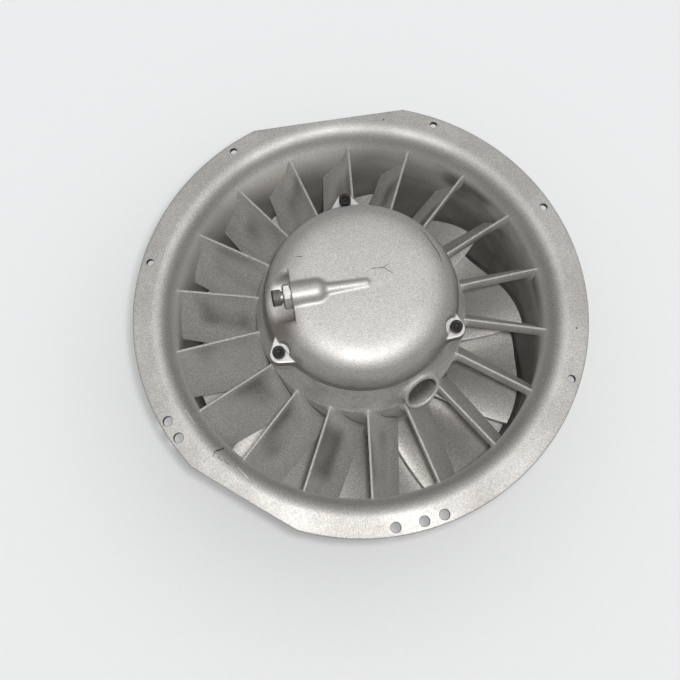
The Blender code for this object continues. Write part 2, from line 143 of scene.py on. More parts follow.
SCREW_GAP = 0.0003
SCREW_LENGTH = 0.028
SCREW_THREAD = 0.004
SCREW_HEAD = 0.0065
SCREW_HEAD_HEIGHT = 0.008
SCREW_SOCKET = 0.0035
SCREW_SOCKET_FLAT = 0.0030
SCREW_SOCKET_DEPTH = 0.0042
SCREW_KNURL = 0.985

BLADE_COUNT = 10
BLADE_START = 19.6
BLADE_TIP_RADIUS = 0.2145
BLADE_TOP_TIP = FLANGE_TOP - 0.150
BLADE_TOP_ROOT = FLANGE_TOP - 0.145
BLADE_BOTTOM = FLANGE_TOP - 0.222
BLADE_LEAN = -7.2
BLADE_TURN = 42.0
BLADE_FALL_SHARE = 0.9
BLADE_EDGE = 0.0010
BLADE_BELLY = 0.0018
BLADE_FILLET = 0.005
BLADE_SPANS = (0.0, 0.012, 0.025, 0.045, 0.07, 0.1, 0.16, 0.28, 0.42, 0.56, 0.7, 0.84, 0.94, 1.0)
ROTOR_RADIUS = 0.1175
ROTOR_TOP = HUB_BOTTOM - 0.005
ROTOR_BOTTOM = 0.010
ROTOR_WALL = 0.006
BOSS_RADIUS = 0.034
BOSS_BOTTOM = 0.040
SHAFT_RADIUS = 0.0175
SHAFT_GAP = 0.0003

# How far vanes and blades sink into the castings that carry them, and how much they thin downwards
PLATE_SINK = 0.0008
PLATE_TAPER = 0.0003
SHARP_ANGLE = 40.0

CAMERA_PLACE = (0.0513, -0.2509, 0.9714)
CAMERA_ROWS = ((0.9717, -0.2220, 0.0809), (0.2357, 0.9346, -0.2664), (-0.0165, 0.2779, 0.9605))
CAMERA_LENS = 37.614
CAMERA_SENSOR = 36.0
SKY_COLOUR = (0.98, 0.99, 1.0)
SKY_LOW = 0.12
SKY_HIGH = 1.34
SKY_RISE = (0.30, 0.88)
SKY_FRONT = 0.35
SKY_SIDE = (0.85, 0.45, 0.0)
LAMP = Vector((0.0720, -0.2291, 0.9757))
LAMP_RADIUS = 0.020
LAMP_POWER = 15.9
FLOOR_SIZE = 6.0
FLOOR_DROP = 0.0005
FLOOR_TONE = 0.83
FLOOR_SKY = 0.86
FLOOR_LAMP = 0.42


def polar(radius, degrees, height=0.0):
    angle = math.radians(degrees)
    return Vector((radius * math.cos(angle), radius * math.sin(angle), height))


# Materials

SCALAR_OPERATIONS = ("DISTANCE", "LENGTH", "DOT_PRODUCT")
UP = (0.0, 0.0, 1.0)
FLATTEN = (1.0, 1.0, 0.0)
FINE_GRAIN = 1050.0
COARSE_GRAIN = 640.0
SHAKE_SCALE = 450.0
SPECKLE_DARK = 0.69
SPECKLE_LIGHT = 1.29


class Shading:
    """Adds nodes to a material or a world and links them."""

    def __init__(self, block, shader):
        block.use_nodes = True
        self.block = block
        self.tree = block.node_tree
        self.shader = self.tree.nodes[shader]
        self.place = None

    def feed(self, socket, value):
        """Link another node's output to a socket, or set the socket's own value."""
        if isinstance(value, bpy.types.NodeSocket):
            self.tree.links.new(value, socket)
        else:
            socket.default_value = value

    def set(self, key, value):
        self.feed(self.shader.inputs[key], value)

    def node(self, kind, inputs, **settings):
        made = self.tree.nodes.new("ShaderNode" + kind)
        for key, value in settings.items():
            setattr(made, key, value)
        for key, value in inputs.items():
            self.feed(made.inputs[key], value)
        return made

    def coordinates(self):
        """Object coordinates, one node for the whole tree."""
        if self.place is None:
            self.place = self.node("TexCoord", {}).outputs["Object"]
        return self.place

    def height(self):
        return self.node("SeparateXYZ", {"Vector": self.coordinates()}).outputs["Z"]

    def radius(self):
        """Distance from the fan's axis."""
        return self.vector("LENGTH", self.vector("MULTIPLY", self.coordinates(), FLATTEN))

    def noise(self, scale, detail=3.0, roughness=0.55):
        inputs = {"Vector": self.coordinates(), "Scale": scale, "Detail": detail, "Roughness": roughness}
        return self.node("TexNoise", inputs).outputs["Fac"]

    def math(self, operation, *values):
        return self.node("Math", dict(enumerate(values)), operation=operation).outputs[0]

    def vector(self, operation, *values):
        """Vector arithmetic: a number for a distance, a length or a dot product, otherwise a vector."""
        made = self.node("VectorMath", dict(enumerate(values)), operation=operation)
        return made.outputs["Value" if operation in SCALAR_OPERATIONS else "Vector"]

    def product(self, first, *others):
        for other in others:
            first = self.math("MULTIPLY", first, other)
        return first

    def opposite(self, value):
        return self.math("SUBTRACT", 1.0, value)

    def ramp(self, value, low, high, start=0.0, end=1.0):
        """Smooth change from start to end while a value goes from low to high."""
        inputs = {"Value": value, "From Min": low, "From Max": high, "To Min": start, "To Max": end}
        return self.node("MapRange", inputs, interpolation_type="SMOOTHSTEP").outputs["Result"]

    def fade(self, value, low, high):
        """1 below low, 0 above high."""
        return self.ramp(value, low, high, 1.0, 0.0)

    def band(self, value, low, high, soft):
        """1 between two values, 0 outside them."""
        return self.product(self.ramp(value, low - soft, low), self.fade(value, high, high + soft))

    def mix(self, share, first, second, blend="MIX"):
        mixer = self.node("Mix", {0: share, 6: first, 7: second},
                          data_type="RGBA", blend_type=blend, clamp_factor=True)
        return mixer.outputs[2]

    def even(self, level):
        """Grey with one level in all three channels."""
        return self.node("CombineColor", {0: level, 1: level, 2: level}).outputs[0]

    def marked(self, colour, marks):
        """A colour under a piece's own marks. Each mark is a mask, its amount and its colour."""
        for mask, amount, tone in (marks(self) if marks else ()):
            colour = self.mix(self.product(mask, amount), colour, opaque(tone))
        return colour

    def warped(self, reach):
        """Object coordinates shaken a little, for marks with uneven edges."""
        inputs = {"Vector": self.coordinates(), "Scale": SHAKE_SCALE, "Detail": 2.0}
        shake = self.node("TexNoise", inputs).outputs["Color"]
        away = self.vector("SUBTRACT", shake, (0.5, 0.5, 0.5))
        return self.vector("MULTIPLY_ADD", away, (reach, reach, reach), self.coordinates())

    def near_point(self, centre, radius, soft, place=None):
        """1 within a radius of a point, fading to 0 outside it."""
        gap = self.vector("DISTANCE", place or self.coordinates(), centre)
        return self.fade(gap, radius, radius + soft)

    def near_line(self, place, first, last, width):
        """1 on a line between two points seen from above, 0 beside it."""
        first, last = Vector((*first, 0.0)), Vector((*last, 0.0))
        along = last - first
        away = self.vector("SUBTRACT", self.vector("MULTIPLY", place, FLATTEN), first)
        share = self.vector("DOT_PRODUCT", away, along / along.length_squared)
        share = self.node("Clamp", {"Value": share}).outputs[0]
        foot = self.node("VectorMath", {0: along, 3: share}, operation="SCALE").outputs[0]
        return self.fade(self.vector("DISTANCE", away, foot), 0.4 * width, width)

    def facing(self, direction, low, high):
        """1 where the surface faces a direction, 0 where it faces away from it."""
        normal = self.node("NewGeometry", {}).outputs["True Normal"]
        return self.ramp(self.vector("DOT_PRODUCT", normal, direction), low, high)

    def bump(self, height, distance, strength, base=None):
        inputs = {"Height": height, "Distance": distance, "Strength": strength}
        if base is not None:
            inputs["Normal"] = base
        return self.node("Bump", inputs).outputs["Normal"]


def opaque(colour):
    return (*colour, 1.0)


def surface(name):
    return Shading(bpy.data.materials.new(name), "Principled BSDF")


def cast_material(name, light, dark, stain_amount, marks=None, metallic=(0.4, 0.4), roughness=0.54,
                  grain_scale=COARSE_GRAIN):
    """Bead blasted cast aluminium: grain, cloudy tone, faint brown stains and the piece's own marks.

    metallic is the value below the lip and the value at the flange.
    """
    shade = surface(name)
    clouds = shade.ramp(shade.noise(14.0, 4.0), 0.36, 0.68)
    colour = shade.mix(clouds, opaque(light), opaque(dark))
    brown_patch = shade.ramp(shade.noise(9.0, 5.0, 0.6), 0.52, 0.74, 0.0, stain_amount)
    colour = shade.marked(shade.mix(brown_patch, colour, opaque((0.22, 0.19, 0.15))), marks)
    grain = shade.noise(grain_scale, 3.0, 0.7)
    speckle = shade.ramp(grain, 0.30, 0.70, SPECKLE_DARK, SPECKLE_LIGHT)
    shade.set("Base Color", shade.mix(1.0, colour, shade.even(speckle), "MULTIPLY"))
    below, above = metallic
    if below != above:
        above = shade.ramp(shade.height(), FLANGE_TOP - 0.034, FLANGE_TOP - 0.004, below, above)
    shade.set("Metallic", above)
    shade.set("Roughness", shade.ramp(clouds, 0.0, 1.0, roughness, roughness + 0.06))
    waves = shade.bump(shade.noise(35.0, 3.0), 0.0006, 0.4)
    shade.set("Normal", shade.bump(grain, 0.00022, 0.6, waves))
    return shade.block


def machined_material(name, colour, roughness, marks=None):
    """Cut or turned face: fine uneven sheen and the piece's own marks."""
    shade = surface(name)
    worn = [0.8 * channel for channel in colour]
    tone = shade.mix(shade.noise(60.0), opaque(colour), opaque(worn))
    shade.set("Base Color", shade.marked(tone, marks))
    shade.set("Metallic", 0.95)
    shade.set("Roughness", shade.ramp(shade.noise(180.0), 0.3, 0.7, roughness - 0.06, roughness + 0.08))
    shade.set("Normal", shade.bump(shade.noise(1500.0, 2.0), 0.0001, 0.4))
    return shade.block


def black_material(name):
    """Black oxide of the socket screws, with grey where it is rubbed."""
    shade = surface(name)
    rub = shade.ramp(shade.noise(420.0, 3.0), 0.6, 0.78)
    shade.set("Base Color", shade.mix(rub, opaque((0.012, 0.012, 0.012)), opaque((0.07, 0.07, 0.07))))
    shade.set("Metallic", 0.6)
    shade.set("Roughness", shade.ramp(rub, 0.0, 1.0, 0.50, 0.60))
    shade.set("Normal", shade.bump(shade.noise(1800.0), 0.00008, 0.5))
    return shade.block


# Marks: pins, lines as seen from above, and colours that several marks share

PIN_MARKS = ((polar(0.2325, 96.2, FLANGE_TOP), 0.0007), (polar(0.2364, 6.4, FLANGE_TOP), 0.0008))
BLEMISH = (((-0.1097, -0.1939), (-0.1034, -0.1872), 0.0011), ((-0.1097, -0.1939), (-0.1097, -0.1987), 0.0007),
           ((-0.1045, -0.1975), (-0.0995, -0.2000), 0.0005), ((-0.0970, -0.1990), (-0.0920, -0.2026), 0.0005),
           ((-0.0889, -0.1800), (-0.0875, -0.1795), 0.0010))
LIP_SCRATCHES = (((-0.1528, -0.1580), (-0.1393, -0.1696)), ((-0.0822, -0.2029), (-0.0680, -0.2115)))

DOME_SCRATCHES = (((0.0081, 0.0187), (0.0189, 0.0223)), ((0.0189, 0.0223), (0.0302, 0.0186)),
                  ((0.0189, 0.0223), (0.0222, 0.0262)), ((-0.0705, 0.0139), (-0.0650, 0.0147)))
DOME_CREASE = ((0.0467, 0.0764), (0.0534, 0.0714), (0.0641, 0.0603), (0.0713, 0.0530), (0.0755, 0.0461))
DOME_SCRATCH_TONE = (0.06, 0.05, 0.04)
# Near black of the union's painted shade.
UNION_SHADE_TONE = (0.02, 0.018, 0.016)


def housing_marks(shade):
    """Painted light in the bell mouth, a lighter outside, pin marks, the lip's blemish and scratches, dark
    throat clouds and painted shade low in the duct.
    """
    height = shade.height()
    place = shade.warped(0.0012)
    mouth = shade.ramp(height, FLANGE_TOP - 0.045, FLANGE_TOP - 0.035)
    within_wall = shade.fade(shade.radius(), DUCT_MIDDLE - 0.0005, DUCT_MIDDLE + 0.0005)
    inner = shade.math("MAXIMUM", mouth, within_wall)
    # Painted light: the bell mouth below the lip gets a lighter tone, standing for light falling into it.
    deep = shade.product(inner, shade.fade(height, FLANGE_TOP - 0.026, FLANGE_TOP - 0.006))
    yield deep, 0.88, (0.58, 0.562, 0.532)
    yield shade.opposite(inner), 0.55, (0.50, 0.483, 0.457)
    # Painted light: a brighter patch on one side of the bell mouth.
    painted_light_patch = shade.near_point(polar(0.205, 128.0, FLANGE_TOP - 0.010), 0.03, 0.09)
    yield shade.product(deep, painted_light_patch), 0.85, (0.90, 0.875, 0.83)
    for centre, radius in PIN_MARKS:
        yield shade.near_point(centre, radius, 0.0004, place), 0.95, (0.02, 0.02, 0.02)
    uneven = shade.warped(0.0035)
    lip = shade.ramp(height, FLANGE_TOP - 0.018, FLANGE_TOP - 0.015)
    for start, end, width in BLEMISH:
        yield shade.product(lip, shade.near_line(uneven, start, end, width)), 0.9, (0.035, 0.028, 0.022)
    for start, end in LIP_SCRATCHES:
        scratch = shade.near_line(place, start, end, 0.0004)
        yield shade.product(lip, scratch), 0.8, (0.80, 0.78, 0.72)
    # Dark clouds in the throat, on one side.
    yield shade.product(inner, throat_dark_clouds(shade)), 0.85, (0.12, 0.108, 0.095)
    # Painted shade low in the duct.
    yield shade.product(inner, duct_painted_shade(shade)), 1.0, (0.085, 0.078, 0.070)


def throat_dark_clouds(shade):
    """Dark clouds in the throat, on one side of it."""
    throat = shade.band(shade.height(), FLANGE_TOP - 0.090, FLANGE_TOP - 0.040, 0.020)
    side = shade.near_point((0.13, 0.17, FLANGE_TOP - 0.05), 0.09, 0.12)
    return shade.product(throat, side, shade.ramp(shade.noise(13.0, 2.0), 0.36, 0.62))


def duct_painted_shade(shade):
    """Painted shade: a darker, cloudy lower wall, darkest on one side."""
    low = shade.fade(shade.height(), FLANGE_TOP - 0.125, FLANGE_TOP - 0.065)
    side = shade.near_point((0.215, 0.03, 0.12), 0.12, 0.20)
    side = shade.ramp(side, 0.0, 1.0, 0.62, 0.88)
    return shade.product(low, side, shade.ramp(shade.noise(16.0, 2.0), 0.30, 0.60, 0.75, 1.0))


def cover_marks(shade):
    """Scratches on the dome, cloudy brown patches round its foot, a dark brown spot near the union, painted
    light on the scoop's floor and the dark joint at the lower edge.
    """
    height = shade.height()
    place = shade.warped(0.0022)
    for first, last in DOME_SCRATCHES:
        yield shade.near_line(place, first, last, 0.0006), 0.8, DOME_SCRATCH_TONE
    speck = shade.near_point((0.0754, -0.0059, COVER_TOP - 0.006), 0.0010, 0.0008, place)
    yield speck, 0.6, (0.12, 0.10, 0.09)
    for first, last in zip(DOME_CREASE, DOME_CREASE[1:]):
        yield shade.near_line(place, first, last, 0.0008), 0.75, DOME_SCRATCH_TONE
    foot = shade.band(height, FLANGE_TOP + 0.020, FLANGE_TOP + 0.040, 0.008)
    patches = shade.ramp(shade.noise(40.0, 3.0), 0.4, 0.7)
    yield shade.product(foot, patches), 0.5, (0.20, 0.165, 0.12)
    # A dark brown spot near the union.
    brown_patch = shade.near_point(polar(0.086, -139.0, FLANGE_TOP + 0.046), 0.006, 0.022)
    yield brown_patch, 0.7, (0.15, 0.12, 0.095)
    # Painted light: a lighter tone on the scoop's floor, standing for light reaching into the recess.
    scoop = shade.near_point(polar(0.083, UNION_ANGLE, UNION_Z - 0.012), 0.013, 0.012)
    yield scoop, 0.55, (0.66, 0.64, 0.61)
    yield shade.band(height, 0.0, COVER_BOTTOM + 0.0007, 0.0005), 0.93, (0.012, 0.011, 0.010)


def ear_marks(shade):
    """Black gasket under the cover's ears."""
    gasket = shade.fade(shade.height(), COVER_BOTTOM + 0.0016, COVER_BOTTOM + 0.0024)
    yield gasket, 0.93, (0.015, 0.014, 0.012)


def hub_marks(shade):
    """Black joint under the cover, painted shade on the steep left wall, painted light low on the rest,
    painted shade deep in the pocket and smoky clouds.
    """
    height = shade.height()
    yield shade.ramp(height, HUB_TOP - 0.0021, HUB_TOP - 0.0015), 0.92, (0.02, 0.017, 0.014)
    # Painted shade: steep walls that face left are darkened.
    level = shade.facing(UP, 0.22, 0.30)
    left = shade.facing(polar(1.0, 178.0), 0.45, 0.62)
    yield shade.product(left, shade.opposite(level)), 0.65, (0.05, 0.045, 0.04)
    # Painted light: the hub's foot is lighter except where it faces left.
    foot = shade.fade(height, FLANGE_TOP - 0.030, FLANGE_TOP - 0.008)
    yield shade.product(foot, shade.opposite(left)), 0.6, (0.60, 0.58, 0.55)
    # Painted shade deep in the pocket's bore.
    yield pocket_painted_shade(shade), 0.88, (0.060, 0.052, 0.045)
    yield shade.ramp(shade.noise(30.0, 4.0), 0.45, 0.66), 0.30, (0.16, 0.14, 0.12)


def pocket_painted_shade(shade):
    """Painted shade mask: 1 deep in the slanting pocket's bore, 0 at its rim and outside it."""
    tilt = math.radians(POCKET_TILT)
    axis = polar(math.sin(tilt), POCKET_ANGLE, math.cos(tilt))
    rim_centre = polar(POCKET_RADIUS, POCKET_ANGLE, POCKET_Z)
    away = shade.vector("SUBTRACT", shade.coordinates(), rim_centre)
    depth = shade.vector("DOT_PRODUCT", away, -axis)
    off_axis = shade.vector("LENGTH", shade.vector("CROSS_PRODUCT", away, axis))
    within = shade.fade(off_axis, POCKET_BORE + 0.0002, POCKET_BORE + 0.0010)
    return shade.product(within, shade.ramp(depth, -0.004, 0.016))


def vane_marks(shade):
    """Painted dark reflections as soft smudges in the middle of the vanes, and painted shade on their upward
    faces.
    """
    across = shade.band(shade.radius(), 0.142, 0.178, 0.022)
    down = shade.band(shade.height(), VANE_TOP - 0.050, VANE_TOP - 0.014, 0.020)
    # Painted reflection: soft dark clouds in the middle of the vanes.
    reflection_clouds = shade.ramp(shade.noise(9.0, 1.0), 0.40, 0.66, 0.10, 1.0)
    yield shade.product(across, down, reflection_clouds), 0.80, (0.16, 0.146, 0.13)
    # Painted shade: faces that look up are darkened, toning down their highlight.
    yield shade.facing(UP, 0.72, 0.95), 1.0, (0.26, 0.25, 0.237)


def union_marks(shade):
    """Painted shade, near black, on the union's outward faces, at the stub's open end and at the nut's outer
    face.
    """
    outward_way = polar(1.0, UNION_ANGLE)
    along = shade.vector("DOT_PRODUCT", shade.coordinates(), outward_way)
    # Painted shade: near black on faces turned outward along the union, at the stub's end and round the nut's
    # outer face.
    yield shade.facing(outward_way, 0.80, 0.95), 0.9, UNION_SHADE_TONE
    yield shade.ramp(along, 0.0886, 0.0894), 0.92, UNION_SHADE_TONE
    yield shade.band(along, 0.0782, 0.0792, 0.0003), 0.9, UNION_SHADE_TONE


HOUSING_CAST = cast_material("cast_housing", (0.385, 0.373, 0.354), (0.345, 0.333, 0.316), 0.25,
                             housing_marks, (0.25, 0.85), 0.52, FINE_GRAIN)
COVER_CAST = cast_material("cast_cover", (0.375, 0.362, 0.343), (0.344, 0.332, 0.315), 0.25,
                           cover_marks, (0.66, 0.66), 0.475, FINE_GRAIN)
HUB_CAST = cast_material("cast_hub", (0.48, 0.463, 0.438), (0.41, 0.396, 0.374), 0.40, hub_marks)
# Painted light: vanes and rotor get far lighter base colours than the housing, standing for light reaching
# down into the duct.
VANE_CAST = cast_material("cast_vanes", (0.60, 0.58, 0.549), (0.53, 0.512, 0.485), 0.30, vane_marks)
ROTOR_CAST = cast_material("cast_rotor", (0.80, 0.775, 0.735), (0.72, 0.695, 0.66), 0.20)
# Painted shade: near black walls inside the flange's holes.
HOLE_WALL_SHADE = cast_material("hole_wall_painted_shade", (0.05, 0.046, 0.04), (0.03, 0.027, 0.024), 0.2)
MILLED = machined_material("cast_milled", (0.52, 0.505, 0.483), 0.45, ear_marks)
STEEL = machined_material("steel_plain", (0.60, 0.58, 0.56), 0.42)
UNION_STEEL = machined_material("steel_union", (0.60, 0.58, 0.56), 0.42, union_marks)
DARK_STEEL = machined_material("steel_dark_thread", (0.36, 0.345, 0.325), 0.52, union_marks)
BLACK = black_material("black_oxide")


# Mesh helpers


def add_object(name, data):
    made = bpy.data.objects.new(name, data)
    bpy.context.scene.collection.objects.link(made)
    return made


def mesh_of(name, builder):
    """Turn a bmesh into a mesh and free it."""
    mesh = bpy.data.meshes.new(name)
    builder.to_mesh(mesh)
    builder.free()
    return mesh


def add_piece(name, builder, material, body, replaced, sharp=SHARP_ANGLE):
    """Turn a bmesh into a piece that rides on a body and stands for CAD nodes."""
    mesh = mesh_of(name, builder)
    mesh.materials.append(material)
    mesh.shade_smooth()
    mesh.set_sharp_from_angle(angle=math.radians(sharp))
    piece = add_object(name, mesh)
    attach(piece, body)
    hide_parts(*replaced)
    return piece


def builder_from(points, faces):
    mesh = bpy.data.meshes.new("net")
    mesh.from_pydata(np.reshape(points, (-1, 3)).tolist(), [], np.asarray(faces).tolist())
    builder = bmesh.new()
    builder.from_mesh(mesh)
    bpy.data.meshes.remove(mesh)
    return builder


def outward(builder):
    """Turn every face outward."""
    bmesh.ops.recalc_face_normals(builder, faces=builder.faces)
    return builder


def arc(centre, radius, start, end, steps):
    """Points on a circle arc in the (radius, height) plane, degrees."""
    points = []
    for step in range(steps + 1):
        turn = math.radians(start + (end - start) * step / steps)
        points.append((centre[0] + radius * math.cos(turn), centre[1] + radius * math.sin(turn)))
    return points


def between(start, end, count):
    """Evenly spaced points between two (radius, height) points, both ends left out."""
    shares = [step / (count + 1) for step in range(1, count + 1)]
    return [tuple(a + (b - a) * share for a, b in zip(start, end)) for share in shares]


def spun(outline, degrees):
    """Points and quads of a closed (radius, height) outline turned through a full circle."""
    count = len(outline)
    radii, heights = np.transpose(outline)
    turns = np.radians(degrees)
    points = np.stack([np.outer(np.cos(turns), radii), np.outer(np.sin(turns), radii),
                       np.outer(np.ones(len(turns)), heights)], axis=-1)
    faces = []
    for turn in range(len(turns)):
        after = (turn + 1) % len(turns)
        for side in range(count):
            follow = (side + 1) % count
            faces.append((turn * count + side, after * count + side, after * count + follow,
                          turn * count + follow))
    return points, faces


def turned_mesh(outline, sides):
    """Mesh of an open (radius, height) outline whose ends lie on the axis."""
    builder = bmesh.new()
    verts = [builder.verts.new((radius, 0.0, height)) for radius, height in outline]
    edges = [builder.edges.new(pair) for pair in zip(verts, verts[1:])]
    bmesh.ops.spin(builder, geom=verts + edges, cent=(0, 0, 0), axis=(0, 0, 1),
                   angle=math.tau, steps=sides, use_merge=True)
    bmesh.ops.remove_doubles(builder, verts=builder.verts, dist=1e-7)
    return outward(builder)


def cut(piece, tool):
    """Apply an exact Boolean difference and remove the tool."""
    modifier = piece.modifiers.new("cut", "BOOLEAN")
    modifier.operation = "DIFFERENCE"
    modifier.solver = "EXACT"
    modifier.object = tool
    bpy.context.view_layer.update()
    graph = bpy.context.evaluated_depsgraph_get()
    mesh = bpy.data.meshes.new_from_object(piece.evaluated_get(graph))
    piece.modifiers.remove(modifier)
    piece.data = mesh
    bpy.data.objects.remove(tool, do_unlink=True)
    mesh.set_sharp_from_angle(angle=math.radians(SHARP_ANGLE))


# Distance fields and the net that meshes them


def smooth_min(first, second, reach):
    """Smaller of two fields, which run into each other within a reach."""
    share = np.clip(0.5 + 0.5 * (second - first) / reach, 0.0, 1.0)
    return second + (first - second) * share - reach * share * (1.0 - share)


def smooth_max(first, second, reach):
    return -smooth_min(-first, -second, reach)


def cell_points(values):
    """Crossed cells of a sampled field and the mean crossing point inside each, in grid steps."""
    shape = tuple(n - 1 for n in values.shape)
    offsets = [(i, j, k) for i in (0, 1) for j in (0, 1) for k in (0, 1)]
    inside = values < 0
    total = np.zeros(shape, np.int8)
    for i, j, k in offsets:
        total += inside[i:i + shape[0], j:j + shape[1], k:k + shape[2]]
    crossed = (total > 0) & (total < 8)
    cells = np.argwhere(crossed)
    corners = [values[tuple((cells + offset).T)] for offset in offsets]
    where = np.zeros((len(cells), 3))
    hits = np.zeros(len(cells))
    for a in range(8):
        for b in range(a + 1, 8):
            step = np.subtract(offsets[b], offsets[a])
            if np.abs(step).sum() != 1:
                continue
            hit = (corners[a] < 0) != (corners[b] < 0)
            gap = np.where(hit, corners[a] - corners[b], 1.0)
            share = np.where(hit, corners[a] / gap, 0.0)
            where += hit[:, None] * (np.array(offsets[a]) + share[:, None] * step)
            hits += hit
    return crossed, cells, cells + where / hits[:, None]


def net_faces(values, crossed, wrap):
    """Quads round every grid edge that the surface crosses."""
    shape = crossed.shape
    number = np.full(shape, -1)
    number[crossed] = np.arange(int(crossed.sum()))
    inside = values < 0
    faces = []
    for axis in range(3):
        u, v = (axis + 1) % 3, (axis + 2) % 3
        length = inside.shape[axis]
        first = np.take(inside, range(length - 1), axis)
        second = np.take(inside, range(1, length), axis)
        edges = np.argwhere(first != second)
        rising = first[tuple(edges.T)]
        if wrap is not None and axis != wrap:
            kept = edges[:, wrap] < shape[wrap]
            edges, rising = edges[kept], rising[kept]
        ring, good = [], np.ones(len(edges), bool)
        for du, dv in ((-1, -1), (0, -1), (0, 0), (-1, 0)):
            cell = edges.copy()
            cell[:, u] += du
            cell[:, v] += dv
            if wrap is not None:
                cell[:, wrap] %= shape[wrap]
            good &= ((cell >= 0) & (cell < shape)).all(axis=1)
            ring.append(cell)
        quads = np.stack([number[tuple(np.clip(cell[good], 0, np.array(shape) - 1).T)] for cell in ring], -1)
        rising = rising[good]
        faces.append(np.where(rising[:, None], quads, quads[:, ::-1]))
    faces = np.concatenate(faces)
    return faces[(faces >= 0).all(axis=1)]


def settle(field, points, rounds):
    """Move points onto the field's zero level, along its gradient and a short way at a time."""
    reach = 2e-5
    least_gradient = 0.2
    longest_move = 0.0008
    for _ in range(rounds):
        value = field(points)
        gradient = np.stack([(field(points + step) - field(points - step)) / (2 * reach)
                             for step in np.eye(3) * reach], axis=-1)
        scale = np.maximum((gradient ** 2).sum(-1), least_gradient)
        move = gradient * (value / scale)[:, None]
        length = np.linalg.norm(move, axis=1, keepdims=True)
        points = points - move * np.minimum(1.0, longest_move / np.maximum(length, 1e-9))
    return points


def relaxed(points, faces, fixed):
    """Even out the net: each free point moves halfway to the mean of its neighbours."""
    total = np.zeros_like(points)
    count = np.zeros(len(points))
    for side in range(4):
        near = faces[:, (side + 1) % 4]
        np.add.at(total, faces[:, side], points[near])
        np.add.at(total, near, points[faces[:, side]])
        np.add.at(count, faces[:, side], 1)
        np.add.at(count, near, 1)
    mean = total / np.maximum(count, 1)[:, None]
    return np.where(fixed[:, None], points, 0.5 * (points + mean))


def net(field, axes, place, wrap=None):
    """Even quads on a field's zero level, flat at the two ends of the last axis."""
    grid = np.stack(np.meshgrid(*axes, indexing="ij"), axis=-1)
    values = field(place(grid)).astype(np.float32)
    if wrap is not None:
        values = np.concatenate([values, np.take(values, [0], wrap)], wrap)
    crossed, cells, where = cell_points(values)
    steps = [(axis[-1] - axis[0]) / (len(axis) - 1) for axis in axes]
    params = np.stack([axes[i][0] + where[:, i] * steps[i] for i in range(3)], axis=-1)
    faces = net_faces(values, crossed, wrap)
    points = settle(field, place(params), 3)
    low = cells[:, 2] == 0
    high = cells[:, 2] == crossed.shape[2] - 1
    for _ in range(2):
        points = settle(field, relaxed(points, faces, low | high), 2)
    points[low, 2] = axes[2][0]
    points[high, 2] = axes[2][-1]
    builder = builder_from(points, faces)
    bmesh.ops.holes_fill(builder, edges=builder.edges, sides=0)
    return outward(builder)


def ear_outline(along, across):
    """Signed distance to an ear's outline: the hull of a small and a large circle."""
    across = np.abs(across)
    length = EAR_CIRCLE - EAR_ROOT_CIRCLE
    slope = (EAR_ROOT_RADIUS - EAR_RADIUS) / length
    rise = math.sqrt(1.0 - slope * slope)
    out = along - EAR_ROOT_CIRCLE
    key = -slope * across + rise * out
    side = rise * across + slope * out - EAR_ROOT_RADIUS
    side = np.where(key < 0, np.hypot(across, out) - EAR_ROOT_RADIUS, side)
    return np.where(key > rise * length, np.hypot(across, out - length) - EAR_RADIUS, side)


def turned_axes(points, degrees):
    """Coordinates along and across a horizontal direction, and the height."""
    angle = math.radians(degrees)
    cosine, sine = math.cos(angle), math.sin(angle)
    along = points[..., 0] * cosine + points[..., 1] * sine
    across = -points[..., 0] * sine + points[..., 1] * cosine
    return along, across, points[..., 2]


DOME_STEPS = np.linspace(DOME_RADII[0], DOME_RADII[-1], 1201)
DOME_TILT = np.radians(np.interp(DOME_STEPS, DOME_RADII, DOME_TILTS))
DOME_FALL = np.concatenate([[0.0], np.cumsum(np.tan(DOME_TILT[1:]) * np.diff(DOME_STEPS))])


def dome_field(points):
    """Distance to the dome: a flat crown that rolls over a tight shoulder into a steep side."""
    radius = np.hypot(points[..., 0] - HUB_SHIFT.x, points[..., 1] - HUB_SHIFT.y)
    fall = np.interp(radius, DOME_STEPS, DOME_FALL)
    return (points[..., 2] - COVER_TOP + fall) * np.cos(np.interp(radius, DOME_STEPS, DOME_TILT))


def scoop_field(across, height):
    """Rough distance to a flattened oval with steep sides."""
    least_slope = 20.0
    wide, high = np.abs(across / SCOOP_HALF_WIDTH), np.abs(height / SCOOP_DEPTH)
    level = np.maximum((wide ** 3 + high ** 3) ** (1.0 / 3.0), 1e-6)
    slope = np.hypot(wide ** 2 / SCOOP_HALF_WIDTH, high ** 2 / SCOOP_DEPTH) / level ** 2
    return (level - 1.0) / np.maximum(slope, least_slope)


